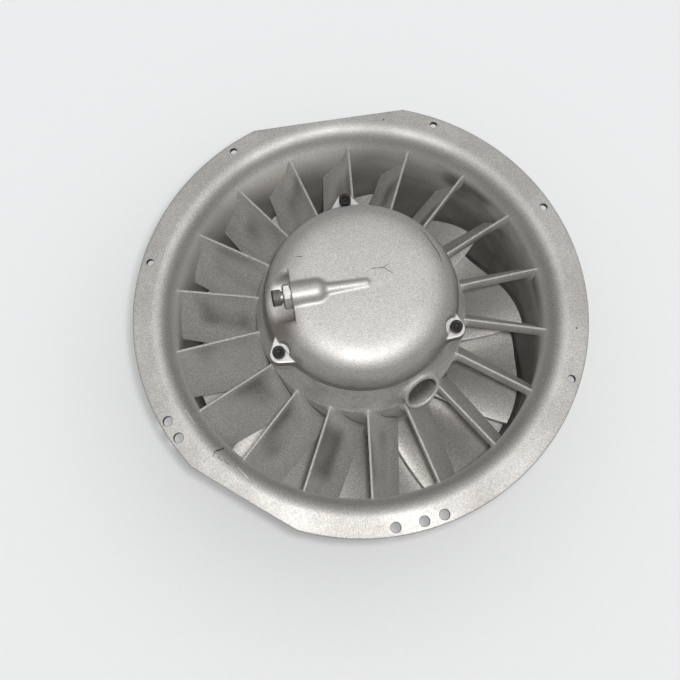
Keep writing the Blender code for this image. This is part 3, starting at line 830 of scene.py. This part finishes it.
def cover_field(points):
    """Dome with its ears, spot faces, union boss, rib and scooped recess."""
    solid = dome_field(points)
    along, across, height = turned_axes(points, UNION_ANGLE)
    rise = height - UNION_Z
    reach = np.maximum(UNION_BOSS_END + UNION_BOSS_RADIUS - along, 0.0)
    boss = np.sqrt(reach ** 2 + across ** 2 + rise ** 2) - UNION_BOSS_RADIUS
    solid = smooth_min(solid, boss, 0.004)
    share = np.clip((RIB_START - along) / RIB_LENGTH, 0.0, 1.0)
    from_end = along - (RIB_START - RIB_LENGTH * share)
    rib_radius = RIB_RADIUS + (RIB_END_RADIUS - RIB_RADIUS) * share
    rib = np.sqrt(from_end ** 2 + across ** 2 + (height - RIB_Z) ** 2) - rib_radius
    solid = smooth_min(solid, rib, 0.0025)
    carved = smooth_max(solid, -scoop_field(across, rise), 0.008)
    solid = np.maximum(solid, np.minimum(carved, along - UNION_FACE))
    for degrees in EAR_ANGLES:
        along, across, height = turned_axes(points, degrees)
        ear = smooth_max(ear_outline(along, across), height - COVER_EDGE_Z, 0.0012)
        solid = smooth_min(solid, ear, 0.0012)
        spot = np.hypot(along - EAR_CIRCLE, across) - SPOT_FACE
        above = smooth_max(spot, COVER_EDGE_Z + SPOT_FACE_LIFT - height, 0.0008)
        solid = smooth_max(solid, -above, 0.001)
    return smooth_max(solid, COVER_BOTTOM - points[..., 2] + chamfer(solid), 0.0004)


def chamfer(solid):
    """Extra cut of a lower edge that leaves a thin groove at the joint."""
    depth = 0.0010
    start = 0.0008
    return np.clip(solid + start, 0.0, depth)


def hub_radius(height):
    rise = np.clip((height - HUB_FLARE_Z) / (HUB_TOP - HUB_FLARE_Z), 0.0, 1.0)
    return HUB_TOP_RADIUS + (HUB_RADIUS - HUB_TOP_RADIUS) * (1.0 - rise) ** HUB_FLARE_POWER


def hub_field(points):
    """Hub wall with its flare, three ears and the slanting pocket."""
    shifted = points - np.array(HUB_SHIFT)
    height = points[..., 2]
    solid = (np.hypot(shifted[..., 0], shifted[..., 1]) - hub_radius(height)) * HUB_FLARE_SLOPE
    for degrees in EAR_ANGLES:
        along, across, height = turned_axes(points, degrees)
        outline = ear_outline(along, across) - HUB_EAR_MARGIN
        ear = smooth_max(outline, HUB_TOP - HUB_EAR_HEIGHT - height, 0.008)
        solid = smooth_min(solid, ear, 0.004)
    depth, ring = pocket_axes(points)
    boss = smooth_max(ring - POCKET_RIM, depth, 0.0012)
    solid = smooth_min(solid, boss, 0.007)
    bore = smooth_max(ring - POCKET_BORE, -POCKET_DEPTH - depth, 0.002)
    return smooth_max(solid, -bore, 0.001)


def pocket_axes(points):
    """Distance in front of the pocket's rim plane, and off its axis."""
    along, across, height = turned_axes(points, POCKET_ANGLE)
    tilt = math.radians(POCKET_TILT)
    out, up = along - POCKET_RADIUS, height - POCKET_Z
    depth = out * math.sin(tilt) + up * math.cos(tilt)
    off = -out * math.cos(tilt) + up * math.sin(tilt)
    return depth, np.hypot(off, across)


def build_cover():
    step = 0.00101
    side = np.arange(-0.120, 0.1201, step)
    rise = np.arange(COVER_BOTTOM, COVER_TOP + 0.011, step)
    builder = net(cover_field, [side, side, rise], lambda grid: grid)
    near_face = 0.0009
    least_level = 0.9
    inner_end = 0.090
    for face in builder.faces:
        middle = face.calc_center_median()
        level = abs(middle.z - COVER_EDGE_Z) < near_face and face.normal.z > least_level
        if level and middle.xy.length > inner_end:
            face.material_index = 1
    cover = add_piece("cover_casting", builder, COVER_CAST, "housing", ["hub_cover"], 60.0)
    cover.data.materials.append(MILLED)


def from_polar(grid):
    """Points of a grid of radii, turns and heights."""
    radii, turns, heights = np.moveaxis(grid, -1, 0)
    return np.stack([radii * np.cos(turns), radii * np.sin(turns), heights], axis=-1)


def build_hub():
    radii = np.arange(0.088, 0.1465, 0.0011)
    turns = np.arange(684) * math.tau / 684
    heights = np.linspace(HUB_BOTTOM, HUB_TOP, 118)
    builder = net(hub_field, [radii, turns, heights], from_polar, wrap=1)
    add_piece("hub_casting", builder, HUB_CAST, "housing", ["hub_body"], 60.0)


# Housing ring


def duct_inner_radius(height):
    """Inner radius of the bell mouth and the duct at a height."""
    if height >= THROAT_Z:
        rise = min(1.0, (height - THROAT_Z) / THROAT_DROP)
        return LIP_RADIUS - (LIP_RADIUS - THROAT_RADIUS) * math.sqrt(max(0.0, 1.0 - rise * rise))
    if height >= DUCT_STRAIGHT_Z:
        fall = (THROAT_Z - height) / (THROAT_Z - DUCT_STRAIGHT_Z)
        ease = fall * fall * (3.0 - 2.0 * fall)
        return THROAT_RADIUS + (DUCT_RADIUS - THROAT_RADIUS) * ease
    return DUCT_RADIUS


def housing_outline():
    """Closed section of the housing ring, its corners rounded."""
    edge = 0.0012
    fillet = 0.0075
    mouth_steps = 28
    throat_steps = 14
    under = FLANGE_TOP - FLANGE_THICK
    turns = np.linspace(0.0, math.pi / 2, mouth_steps + 1)
    heights = list(FLANGE_TOP - THROAT_DROP * (1.0 - np.cos(turns)))
    heights += list(np.linspace(THROAT_Z, DUCT_STRAIGHT_Z, throat_steps + 1)[1:])
    points = [(duct_inner_radius(height), height) for height in heights]
    points += between((DUCT_RADIUS, DUCT_STRAIGHT_Z), (DUCT_RADIUS, edge), 8)
    points += arc((DUCT_RADIUS + edge, edge), edge, 180, 270, 3)
    points += arc((DUCT_OUTSIDE - edge, edge), edge, 270, 360, 3)
    points += between((DUCT_OUTSIDE, edge), (DUCT_OUTSIDE, under - fillet), 14)
    points += arc((DUCT_OUTSIDE + fillet, under - fillet), fillet, 180, 90, 8)
    points += between((DUCT_OUTSIDE + fillet, under), (FLANGE_RADIUS - edge, under), 6)
    points += arc((FLANGE_RADIUS - edge, under + edge), edge, 270, 360, 4)
    points += arc((FLANGE_RADIUS - edge, FLANGE_TOP - edge), edge, 0, 90, 4)
    points += between((FLANGE_RADIUS - edge, FLANGE_TOP), (LIP_RADIUS, FLANGE_TOP), 8)
    return points


def flange_reach(degrees):
    """Outer radius of the flange in a direction, cut by the two flats."""
    reach = FLANGE_RADIUS
    for flat, distance in FLATS:
        away = (degrees - flat + 180.0) % 360.0 - 180.0
        if abs(away) < FLAT_REACH:
            reach = min(reach, distance / math.cos(math.radians(away)))
    return reach


HOLES = [(SMALL_HOLE / 2, polar(SMALL_HOLE_CIRCLE, angle)) for angle in SMALL_HOLE_ANGLES]
HOLES += [(LARGE_HOLE / 2, polar(LARGE_HOLE_CIRCLE, angle)) for angle in LARGE_HOLE_ANGLES]


def build_housing():
    """Ring with its two flats, then its ten holes, their walls painted near black as shade."""
    angles = list(np.arange(0.0, 360.0, 0.6))
    for flat, distance in FLATS:
        corner = math.degrees(math.acos(distance / FLANGE_RADIUS))
        angles += [flat - corner, flat + corner]
    angles = sorted(angle % 360.0 for angle in angles)
    points, faces = spun(housing_outline(), angles)
    radii = np.hypot(points[..., 0], points[..., 1])
    for row, degrees in enumerate(angles):
        share = np.clip((radii[row] - FLAT_START) / (FLANGE_RADIUS - FLAT_START), 0.0, None)
        pulled = FLAT_START + share * (flange_reach(degrees) - FLAT_START)
        wanted = np.where(radii[row] > FLAT_START, pulled, radii[row])
        points[row, :, :2] *= (wanted / radii[row])[:, None]
    housing = add_piece("housing_casting", outward(builder_from(points, faces)), HOUSING_CAST, "housing",
                        ["inlet_flange", "duct_shell"], 50.0)
    cut(housing, hole_tool())
    # The hole walls get the near black painted shade.
    housing.data.materials.append(HOLE_WALL_SHADE)
    for face in housing.data.polygons:
        gaps = [(face.center.xy - place.xy).length for _, place in HOLES]
        if abs(face.normal.z) < 0.3 and min(gaps) < HOLE_WALL_REACH:
            face.material_index = 1


def hole_tool():
    """One mesh with all ten flange holes, each with a small chamfer at both faces."""
    builder = bmesh.new()
    under = FLANGE_TOP - FLANGE_THICK
    past = 0.003
    tip = 0.001
    for radius, place in HOLES:
        wide = radius + HOLE_CHAMFER + past
        outline = [(0.0, under - past - tip), (wide, under - past), (radius, under + HOLE_CHAMFER),
                   (radius, FLANGE_TOP - HOLE_CHAMFER), (wide, FLANGE_TOP + past),
                   (0.0, FLANGE_TOP + past + tip)]
        hole = turned_mesh(outline, 40)
        bmesh.ops.translate(hole, verts=hole.verts, vec=place)
        mesh = mesh_of("hole", hole)
        builder.from_mesh(mesh)
        bpy.data.meshes.remove(mesh)
    return add_object("holes", mesh_of("holes", builder))


# Vanes and blades


def plate_mesh(middle, half_thick, fillet, spans, chord_steps):
    """Closed plate round a curved middle surface, wider in fillets at its two ends.

    middle(part, span) gives a point, half_thick(part) the plate's half thickness and
    fillet(span) what a fillet adds to it away from the plate's two edges.
    """
    builder = bmesh.new()
    loops = []
    nearby = 0.02
    edge_ease = 7.0
    parts = [0.5 - 0.5 * math.cos(math.pi * step / chord_steps) for step in range(chord_steps + 1)]
    for span in spans:
        points = [middle(part, span) for part in parts]
        across = middle(0.5, min(1.0, span + nearby)) - middle(0.5, max(0.0, span - nearby))
        across.normalize()
        upper, lower = [], []
        for index, (part, point) in enumerate(zip(parts, points)):
            ahead = points[min(index + 1, chord_steps)] - points[max(index - 1, 0)]
            side = ahead.cross(across).normalized()
            away = min(1.0, edge_ease * part, edge_ease * (1.0 - part))
            half = half_thick(part) + fillet(span) * away
            upper.append(point + side * half)
            lower.append(point - side * half)
        nose = end_cap(points[0], points[0] - points[1], upper[0])
        tail = end_cap(points[-1], points[-1] - points[-2], lower[-1])
        ring = upper + tail[::-1] + lower[::-1] + nose[::-1]
        loops.append([builder.verts.new(point) for point in ring])
    for first, second in zip(loops, loops[1:]):
        for side in range(len(first)):
            follow = (side + 1) % len(first)
            builder.faces.new((first[side], second[side], second[follow], first[follow]))
    builder.faces.new(loops[0])
    builder.faces.new(loops[-1][::-1])
    return outward(builder)


def end_cap(centre, outward_way, start):
    """Points of a half round edge from start to the far side of the plate, both left out."""
    steps = 6
    radius = (start - centre).length
    ahead = outward_way.normalized()
    side = (start - centre).normalized()
    points = []
    for step in range(1, steps):
        turn = math.pi * step / steps
        points.append(centre + side * (radius * math.cos(turn)) + ahead * (radius * math.sin(turn)))
    return points


def fillet_width(distance, radius):
    """What a fillet adds at a distance from the wall that it joins."""
    if distance >= radius:
        return 0.0
    return radius - math.sqrt(max(0.0, radius ** 2 - (radius - max(0.0, distance)) ** 2))


def vane_point(start, part, span):
    """Point on a vane's middle surface: part goes down the vane, span from the hub to the duct."""
    height = VANE_TOP + (VANE_BOTTOM - VANE_TOP) * part
    root_z = height + VANE_ROOT_RISE * (1.0 - part)
    root_turn = start + VANE_TURN_INNER * part ** 2
    root = polar(float(hub_radius(root_z)) - PLATE_SINK, root_turn, root_z) + HUB_SHIFT
    tip = polar(duct_inner_radius(height) + PLATE_SINK, start + VANE_TURN_OUTER * part ** 2, height)
    return root.lerp(tip, span)


def vane_half_thickness(part):
    belly = math.sin(math.pi * min(1.0, 0.1 + 0.85 * part))
    return VANE_EDGE + VANE_BELLY * belly - PLATE_TAPER * part


def vane_fillet(span):
    width = THROAT_RADIUS - HUB_RADIUS
    return fillet_width(span * width, VANE_ROOT_FILLET) + fillet_width((1.0 - span) * width, VANE_TIP_FILLET)


def build_vanes():
    for index in range(VANE_COUNT):
        middle = functools.partial(vane_point, VANE_START + index * 360.0 / VANE_COUNT)
        builder = plate_mesh(middle, vane_half_thickness, vane_fillet, VANE_SPANS, 36)
        name = f"guide_vane_{index + 1:02d}"
        add_piece(f"vane_casting_{index + 1:02d}", builder, VANE_CAST, "housing", [name])


def blade_point(start, part, span):
    """Point on a blade's middle surface: part goes down the blade, span from the rotor's hub to the tip."""
    eased = min(1.0, part / BLADE_FALL_SHARE)
    fall = eased * eased * (3.0 - 2.0 * eased)
    root = ROTOR_RADIUS - PLATE_SINK
    top = BLADE_TOP_ROOT + (BLADE_TOP_TIP - BLADE_TOP_ROOT) * span
    turn = start + BLADE_LEAN * (1.0 - span) + BLADE_TURN * part
    return polar(root + (BLADE_TIP_RADIUS - root) * span, turn, top + (BLADE_BOTTOM - top) * fall)


def blade_half_thickness(part):
    belly = math.sin(math.pi * min(1.0, 0.12 + 0.86 * part)) ** 0.8
    return BLADE_EDGE + BLADE_BELLY * belly - PLATE_TAPER * part


def blade_fillet(span):
    return fillet_width(span * (BLADE_TIP_RADIUS - ROTOR_RADIUS), BLADE_FILLET)


def build_blades():
    for index in range(BLADE_COUNT):
        middle = functools.partial(blade_point, BLADE_START + index * 360.0 / BLADE_COUNT)
        builder = plate_mesh(middle, blade_half_thickness, blade_fillet, BLADE_SPANS, 40)
        name = f"rotor_blade_{index + 1:02d}"
        add_piece(f"blade_casting_{index + 1:02d}", builder, ROTOR_CAST, "rotor", [name])


def build_rotor_hub():
    """Open drum with a boss round the shaft."""
    edge = 0.0015
    boss_fillet = 0.006
    rim_fillet = 0.005
    ceiling = ROTOR_TOP - ROTOR_WALL
    inside = ROTOR_RADIUS - ROTOR_WALL
    bore = SHAFT_RADIUS + SHAFT_GAP
    outline = [(bore, ROTOR_TOP), (bore, BOSS_BOTTOM)]
    outline += arc((BOSS_RADIUS - edge, BOSS_BOTTOM + edge), edge, 270, 360, 4)
    outline += arc((BOSS_RADIUS + boss_fillet, ceiling - boss_fillet), boss_fillet, 180, 90, 6)
    outline += between((BOSS_RADIUS + boss_fillet, ceiling), (inside - rim_fillet, ceiling), 3)
    outline += arc((inside - rim_fillet, ceiling - rim_fillet), rim_fillet, 90, 0, 6)
    outline += arc((inside + edge, ROTOR_BOTTOM + edge), edge, 180, 270, 3)
    outline += arc((ROTOR_RADIUS - edge, ROTOR_BOTTOM + edge), edge, 270, 360, 3)
    outline += between((ROTOR_RADIUS, ROTOR_BOTTOM + edge), (ROTOR_RADIUS, ROTOR_TOP - edge), 6)
    outline += arc((ROTOR_RADIUS - edge, ROTOR_TOP - edge), edge, 0, 90, 4)
    builder = outward(builder_from(*spun(outline, np.arange(0.0, 360.0, 1.25))))
    add_piece("rotor_hub_casting", builder, ROTOR_CAST, "rotor", ["rotor_hub"])


def finish_shaft():
    """Plain steel on the solids of the shaft and its nut."""
    for name in ("rotor_shaft", "rotor_shaft_nut"):
        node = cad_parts[name]
        node.data.materials.clear()
        node.data.materials.append(STEEL)


# Screws and oil union


def screw_outline(seat):
    """Thread, knurled head and socket of a screw, from its tip to the socket's floor."""
    tip = seat - SCREW_LENGTH
    top = seat + SCREW_HEAD_HEIGHT
    return [(0.0, tip), (SCREW_THREAD - 0.0006, tip), (SCREW_THREAD, tip + 0.0006), (SCREW_THREAD, seat),
            (SCREW_HEAD - 0.0004, seat), (SCREW_HEAD, seat + 0.0004), (SCREW_HEAD, top - 0.0008),
            (SCREW_HEAD - 0.0001, top - 0.0005), (SCREW_HEAD - 0.0008, top), (SCREW_SOCKET + 0.0003, top),
            (SCREW_SOCKET, top - 0.0003), (SCREW_SOCKET, top - SCREW_SOCKET_DEPTH),
            (0.0, top - SCREW_SOCKET_DEPTH - 0.0010)]


def build_screws():
    sides = 72
    near = 1e-5
    for index, degrees in enumerate(EAR_ANGLES):
        builder = turned_mesh(screw_outline(COVER_EDGE_Z + SCREW_GAP), sides)
        for vert in builder.verts:
            radius = vert.co.xy.length
            turn = math.atan2(vert.co.y, vert.co.x)
            scale = 1.0
            if abs(radius - SCREW_SOCKET) < near:
                scale = SCREW_SOCKET_FLAT / math.cos(turn % (math.pi / 3) - math.pi / 6) / radius
            elif abs(radius - SCREW_HEAD) < near and round(turn / math.tau * sides) % 2:
                scale = SCREW_KNURL
            vert.co.x *= scale
            vert.co.y *= scale
        bmesh.ops.translate(builder, verts=builder.verts, vec=polar(EAR_CIRCLE, degrees))
        name = f"cover_screw_{index + 1}"
        add_piece(f"socket_screw_{index + 1}", builder, BLACK, "housing", [name], 30.0)


def on_union(builder):
    """Lay a piece that was built on the Z axis along the union's radial line."""
    lift = Matrix.Translation((0.0, 0.0, UNION_Z)) @ Matrix.Rotation(math.radians(90.0), 4, "Y")
    turn = Matrix.Rotation(math.radians(UNION_ANGLE), 4, "Z")
    bmesh.ops.transform(builder, verts=builder.verts, matrix=turn @ lift)
    return builder


def locknut(low):
    """Hexagon with both faces chamfered round and a bore through it."""
    chamfer_width = NUT_CHAMFER * 1.7
    outer = NUT_FLATS / math.sqrt(3)
    high = low + NUT_HEIGHT
    outline = [(NUT_BORE, low), (outer - chamfer_width, low), (outer, low + NUT_CHAMFER),
               (outer, high - NUT_CHAMFER), (outer - chamfer_width, high), (NUT_BORE, high)]
    points, faces = spun(outline, np.arange(0.0, 360.0, 3.0))
    radii = np.hypot(points[..., 0], points[..., 1])
    turns = (np.arctan2(points[..., 1], points[..., 0]) + math.pi / 6) % (math.pi / 3) - math.pi / 6
    limit = NUT_FLATS / 2 / np.cos(turns)
    points[..., :2] *= (np.minimum(radii, limit) / radii)[..., None]
    return outward(builder_from(points, faces))


def threaded_stub(low):
    """Neck, thread turns and open end with a bore."""
    outline = [(0.0, low), (STUB_NECK, low), (STUB_NECK, STUB_NECK_END), (0.0082, STUB_NECK_END + 0.0005)]
    for index in range(THREAD_TURNS):
        start = THREAD_START + index * THREAD_PITCH
        outline += [(THREAD_ROOT, start - 0.0002), (THREAD_CREST, start + THREAD_PITCH * 0.4)]
    outline += [(THREAD_ROOT, STUB_END - 0.0006), (STUB_END_RADIUS, STUB_END), (STUB_BORE + 0.0003, STUB_END),
                (STUB_BORE, STUB_END - 0.0003), (STUB_BORE, STUB_BORE_START), (0.0, STUB_BORE_START - 0.0005)]
    return turned_mesh(outline, 48)


def build_union():
    seat = UNION_FACE + UNION_GAP
    nut = on_union(locknut(seat))
    add_piece("union_locknut", nut, UNION_STEEL, "housing", ["oil_union_nut"], 25.0)
    stub = on_union(threaded_stub(seat))
    add_piece("union_stub", stub, DARK_STEEL, "housing", ["oil_union_stub"], 25.0)


# Camera, floor and lights


def build_camera():
    camera_data = bpy.data.cameras.new("camera")
    camera_data.lens = CAMERA_LENS
    camera_data.sensor_width = CAMERA_SENSOR
    camera_data.clip_start = 0.01
    camera_data.clip_end = 50.0
    camera = add_object("camera", camera_data)
    camera.rotation_mode = "QUATERNION"
    camera.rotation_quaternion = Matrix(CAMERA_ROWS).to_quaternion()
    camera.location = CAMERA_PLACE
    bpy.context.scene.camera = camera


def build_floor():
    """Pale floor whose colour evens out what the lamp and the sky put on it."""
    builder = bmesh.new()
    bmesh.ops.create_grid(builder, x_segments=1, y_segments=1, size=FLOOR_SIZE)
    mesh = mesh_of("floor", builder)
    shade = surface("pale_floor")
    gap = shade.vector("DISTANCE", shade.coordinates(), LAMP)
    lit = shade.math("POWER", shade.math("DIVIDE", LAMP.z, gap), 3.0)
    lit = shade.math("ADD", shade.product(lit, FLOOR_LAMP), FLOOR_SKY)
    grain = shade.ramp(shade.noise(160.0), 0.3, 0.7, 0.985, 1.0)
    shade.set("Base Color", shade.even(shade.product(shade.math("DIVIDE", FLOOR_TONE, lit), grain)))
    shade.set("Roughness", 0.9)
    shade.set("Specular IOR Level", 0.1)
    mesh.materials.append(shade.block)
    floor = add_object("floor", mesh)
    floor.location = (0, 0, -FLOOR_DROP)


def build_lights():
    """Soft surrounding light, bright overhead and darker towards the floor, and a small lamp."""
    shade = Shading(bpy.data.worlds.new("studio"), "Background")
    place = shade.node("TexCoord", {}).outputs["Generated"]
    height = shade.node("SeparateXYZ", {"Vector": place}).outputs["Z"]
    level = shade.ramp(height, *SKY_RISE, SKY_LOW, SKY_HIGH)
    sideways = shade.vector("DOT_PRODUCT", place, SKY_SIDE)
    shade.set("Color", opaque(SKY_COLOUR))
    shade.set("Strength", shade.product(level, shade.math("MULTIPLY_ADD", sideways, SKY_FRONT, 1.0)))
    bpy.context.scene.world = shade.block
    lamp_data = bpy.data.lights.new("lamp", "POINT")
    lamp_data.energy = LAMP_POWER
    lamp_data.shadow_soft_size = LAMP_RADIUS
    add_object("lamp", lamp_data).location = LAMP
    bpy.context.scene.view_settings.view_transform = "Standard"


build_camera()
build_floor()
build_lights()
build_housing()
build_hub()
build_cover()
build_vanes()
build_screws()
build_union()
build_rotor_hub()
build_blades()
finish_shaft()
